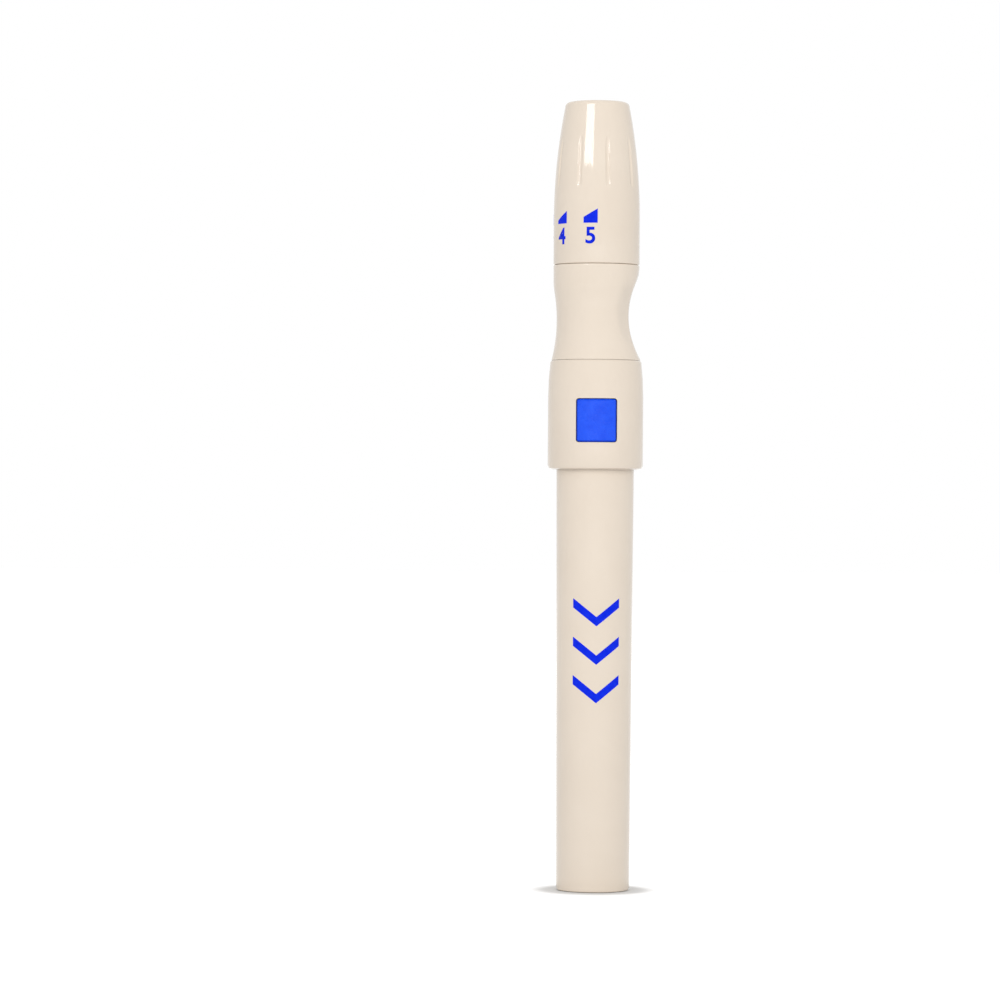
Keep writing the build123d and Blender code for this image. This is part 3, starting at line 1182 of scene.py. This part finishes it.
@dataclass
class CoilSpring:
    """A compression spring of round wire, wound upwards, with a closed coil at either end."""

    node: bpy.types.Object
    material: bpy.types.Material
    radius: float
    wire: float
    turns: int
    foot: float
    length: float
    wire_sides: int = 12
    turn_steps: int = 36
    closed_ratio: float = 1.04
    sharp_angle: float = 50.0

    @property
    def closed_pitch(self) -> float:
        """Rise of a closed coil.

        Returns:
            The rise.
        """
        return self.closed_ratio * self.wire

    @property
    def open_pitch(self) -> float:
        """Rise of a coil between the closed ones.

        Returns:
            The rise.
        """
        return (self.length - self.wire - 2 * self.closed_pitch) / (self.turns - 2)

    def wind(self, name: str, foot: float, stretches: list[tuple[int, float]]) -> bpy.types.Object:
        """Winds wire from a height upwards.

        Args:
            name: The new piece's name.
            foot: The height of the wire's middle at the start.
            stretches: Turns and rise of each stretch.

        Returns:
            The coil.
        """
        coils = []
        for turns, pitch in stretches:
            bpy.ops.mesh.primitive_circle_add(
                vertices=self.wire_sides,
                radius=self.wire / 2 * MM,
                location=(self.radius * MM, 0, foot * MM),
                rotation=(math.radians(90), 0, 0),
            )
            coil = bpy.context.object
            bpy.ops.object.transform_apply(location=True, rotation=True, scale=True)
            apply_modifier(
                coil,
                "SCREW",
                axis="Z",
                angle=math.tau,
                screw_offset=pitch * MM,
                iterations=turns,
                steps=self.turn_steps,
                render_steps=self.turn_steps,
            )
            coils.append(coil)
            foot += turns * pitch
        spring = join(name, coils)
        with editing(spring):
            weld()
            bpy.ops.mesh.fill_holes(sides=0)
            face_outwards()
        smooth(spring, self.sharp_angle)
        dress(spring, self.material)
        return spring

    def whole(self) -> bpy.types.Object:
        """Winds the spring in one piece.

        Returns:
            The spring.
        """
        closed, opened = (1, self.closed_pitch), (self.turns - 2, self.open_pitch)
        start = self.foot + self.wire / 2
        return self.wind(f"{self.node.name}_wire", start, [closed, opened, closed])

    def halves(self) -> list[bpy.types.Object]:
        """Winds the spring in two pieces that meet in the middle.

        Returns:
            The lower and the upper half.
        """
        closed, opened = (1, self.closed_pitch), (self.turns // 2 - 1, self.open_pitch)
        start = self.foot + self.wire / 2
        middle = self.foot + self.length / 2
        lower = self.wind(f"{self.node.name}_lower", start, [closed, opened])
        upper = self.wind(f"{self.node.name}_upper", middle, [opened, closed])
        return [lower, upper]

    def ends(self) -> tuple[Vector, Vector]:
        """Finds the ends of a spring that stands on the pen's axis.

        Returns:
            The middle of its foot and that of its top.
        """
        return Vector((0, 0, self.foot)), Vector((0, 0, self.foot + self.length))

    def hang(
        self, piece: bpy.types.Object, still: Body, moving: Body, start: Vector, end: Vector
    ) -> None:
        """Bakes a piece of the spring in place and hides the CAD spring that it stands for.

        Args:
            piece: The spring or a half of it.
            still: The body at its first end, named in the log.
            moving: The body at its other end, named in the log.
            start: Not used.
            end: Not used.
        """
        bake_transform(piece)
        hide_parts(self.node.name)
        LOG.info("%s bends from %s to %s", piece.name, still.value, moving.value)


@dataclass
class Works:
    """What the pen holds inside: the moulded pieces and the springs."""

    finishes: Finishes
    nodes: dict[str, bpy.types.Object]
    moulded: tuple[str, ...] = (
        "depth_stop",
        "inner_barrel",
        "lancet_carrier",
        "tail_plug",
        "rear_bush",
        "pull_tube",
    )

    def spring(
        self, name: str, radius: float, wire: float, turns: int, axis: int = 2
    ) -> CoilSpring:
        """Fits a spring into the room that its CAD piece takes.

        Args:
            name: The CAD node.
            radius: The coil's radius.
            wire: The wire's thickness.
            turns: How many turns it has.
            axis: The axis that it lies along.

        Returns:
            The spring.
        """
        low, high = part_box(name)
        foot, length = low[axis] / MM, (high[axis] - low[axis]) / MM
        steel = self.finishes.steel
        return CoilSpring(self.nodes[name], steel, radius, wire, turns, foot, length)

    def build(self) -> None:
        """Gives the CAD pieces inside their finishes and winds the springs."""
        for name in self.moulded:
            dress(self.nodes[name], self.finishes.white)
            LOG.info("%s keeps its CAD shape", name)
        drive = self.spring("drive_spring", radius=2.945, wire=0.6, turns=8)
        foot, top = drive.ends()
        lower, upper = drive.halves()
        drive.hang(lower, Body.BODY, Body.SLEEVE, foot, (foot + top) / 2)
        drive.hang(upper, Body.SLEEVE, Body.CARRIER, (foot + top) / 2, top)
        back = self.spring("return_spring", radius=2.497, wire=0.45, turns=4)
        foot, top = back.ends()
        back.hang(back.whole(), Body.SLEEVE, Body.CARRIER, top, foot)
        sleeve = self.spring("sleeve_spring", radius=4.647, wire=0.45, turns=6)
        foot, top = sleeve.ends()
        sleeve.hang(sleeve.whole(), Body.BODY, Body.SLEEVE, foot, top)
        button = self.spring("button_spring", radius=1.3, wire=0.3, turns=3, axis=1)
        wire = button.whole()
        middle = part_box("button_spring")[0].z / MM + button.radius + button.wire / 2
        lay_down = Matrix.Rotation(math.radians(-90), 4, "X")
        wire.data.transform(Matrix.Translation((0, 0, middle * MM)) @ lay_down)
        foot = Vector((0, button.foot, middle))
        top = Vector((0, button.foot + button.length, middle))
        button.hang(wire, Body.BODY, Body.BUTTON, top, foot)


@dataclass
class Softbox:
    """A soft rectangular light that faces a height on the pen's axis."""

    name: str
    azimuth: float
    watts: float
    elevation: float = 18.0
    distance: float = 900.0
    width: float = 700.0
    height: float = 700.0
    target: float = 63.0

    def hang(self) -> bpy.types.Object:
        """Hangs the light.

        Returns:
            The light.
        """
        data = bpy.data.lights.new(self.name, "AREA")
        data.shape = "RECTANGLE"
        data.size = self.width * MM
        data.size_y = self.height * MM
        data.energy = self.watts
        lamp = add_object(self.name, data)
        azimuth, elevation = math.radians(self.azimuth), math.radians(self.elevation)
        level = Vector((math.sin(azimuth), -math.cos(azimuth), 0)) * math.cos(elevation)
        direction = level + Vector((0, 0, math.sin(elevation)))
        lamp.location = Vector((0, 0, self.target * MM)) + direction * self.distance * MM
        lamp.rotation_euler = direction.to_track_quat("Z", "Y").to_euler()
        lamp.visible_camera = False
        return lamp


@dataclass
class Studio:
    """Pale floor, soft light and the camera at the photo's viewing angle."""

    photo_scale: float = 0.16264
    axis_pixel: float = 595.0
    base_pixel: float = 889.0
    distance: float = 675.0
    roll: float = 0.37
    sensor: float = 36.0
    clip_start: float = 10.0
    clip_end: float = 20000.0
    floor_size: float = 6000.0
    floor_drop: float = 0.02
    floor_dark: Colour = (0.75, 0.75, 0.75)
    floor_pale: Colour = (0.77, 0.77, 0.77)
    floor_mottle: float = 40.0
    floor_roughness: float = 0.9
    # Radii round the pen's foot between which the floor's glow rises from none to full; inside
    # them the held-back glow paints a shadow.
    shadow_start: float = 7.2
    shadow_end: float = 11.5
    floor_glow: float = 0.5
    sky: float = 0.7

    def camera(self) -> None:
        """Sets the camera up level with the middle of the photo."""
        data = bpy.data.cameras.new("camera")
        data.sensor_width = self.sensor
        data.lens = self.sensor * self.distance / (PHOTO_PIXELS * self.photo_scale)
        data.clip_start = self.clip_start * MM
        data.clip_end = self.clip_end * MM
        camera = add_object("camera", data)
        middle = PHOTO_PIXELS / 2
        camera.location = (
            (middle - self.axis_pixel) * self.photo_scale * MM,
            -self.distance * MM,
            (self.base_pixel - middle) * self.photo_scale * MM,
        )
        camera.rotation_euler = (math.radians(90), math.radians(-self.roll), 0)
        bpy.context.scene.camera = camera

    def floor(self) -> None:
        """Lays the floor, glowing white where it is seen, with a painted shadow round the pen's
        foot where the glow is held back.
        """
        place = (0, 0, -self.floor_drop * MM)
        bpy.ops.mesh.primitive_plane_add(size=self.floor_size * MM, location=place)
        floor = bpy.context.object
        floor.name = "floor"
        graph = Graph("pale_floor")
        away = graph.tree.nodes.new("ShaderNodeVectorMath")
        away.operation = "LENGTH"
        graph.tree.links.new(graph.place, away.inputs[0])
        # The floor's glow is held back near the pen's foot, which paints a shadow ring on top of
        # the real shading there.
        glow = graph.add(
            "ShaderNodeMapRange",
            Value=away.outputs["Value"],
            From_Min=self.shadow_start * MM,
            From_Max=self.shadow_end * MM,
            To_Max=self.floor_glow,
        )
        glow.interpolation_type = "SMOOTHSTEP"
        seen = graph.tree.nodes.new("ShaderNodeMath")
        seen.operation = "MULTIPLY"
        graph.tree.links.new(glow.outputs["Result"], seen.inputs[0])
        graph.tree.links.new(clear_view(graph.tree), seen.inputs[1])
        shader = graph.add(
            "ShaderNodeBsdfPrincipled",
            Base_Color=graph.blend(
                graph.noise(self.floor_mottle), self.floor_dark, self.floor_pale
            ),
            Roughness=self.floor_roughness,
            Emission_Color=(1.0, 1.0, 1.0, 1.0),
            Emission_Strength=seen.outputs["Value"],
        )
        dress(floor, graph.finish(shader))

    def sky_light(self) -> None:
        """Sets the even white surround, full white where it is seen."""
        world = bpy.data.worlds.new("surround")
        bpy.context.scene.world = world
        world.use_nodes = True
        tree = world.node_tree
        tree.nodes.clear()
        strength = tree.nodes.new("ShaderNodeMapRange")
        strength.inputs["To Min"].default_value = self.sky
        strength.inputs["To Max"].default_value = 1.0
        background = tree.nodes.new("ShaderNodeBackground")
        background.inputs["Color"].default_value = (1.0, 1.0, 1.0, 1.0)
        output = tree.nodes.new("ShaderNodeOutputWorld")
        tree.links.new(clear_view(tree), strength.inputs["Value"])
        tree.links.new(strength.outputs["Result"], background.inputs["Strength"])
        tree.links.new(background.outputs["Background"], output.inputs["Surface"])

    def build(self) -> None:
        """Sets up the whole studio."""
        self.floor()
        self.sky_light()
        key = Softbox("key", azimuth=-1.0, watts=3.45)
        fill = Softbox("fill", azimuth=180.0, watts=1.3)
        for softbox in (key, fill):
            softbox.hang().visible_glossy = False
        strip = Softbox(
            "strip",
            azimuth=-24.9,
            watts=0.034,
            elevation=20.5,
            distance=100.0,
            width=44.0,
            height=31.0,
            target=121.0,
        )
        strip.hang().visible_diffuse = False
        self.camera()
        bpy.context.scene.view_settings.view_transform = "Standard"


def main() -> None:
    """Builds the pen's pieces in order, then the studio."""
    logging.basicConfig(level=logging.INFO, format="%(message)s")
    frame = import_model()
    nodes = frame["nodes"]
    finishes = Finishes()
    DepthDial(finishes, nodes["depth_dial"]).build()
    CapNeck(finishes, nodes["cap_neck"]).build()
    Grip(finishes, nodes).build()
    Sleeve(finishes, nodes).build()
    Works(finishes, nodes).build()
    Studio().build()


if __name__ == "__main__":
    main()
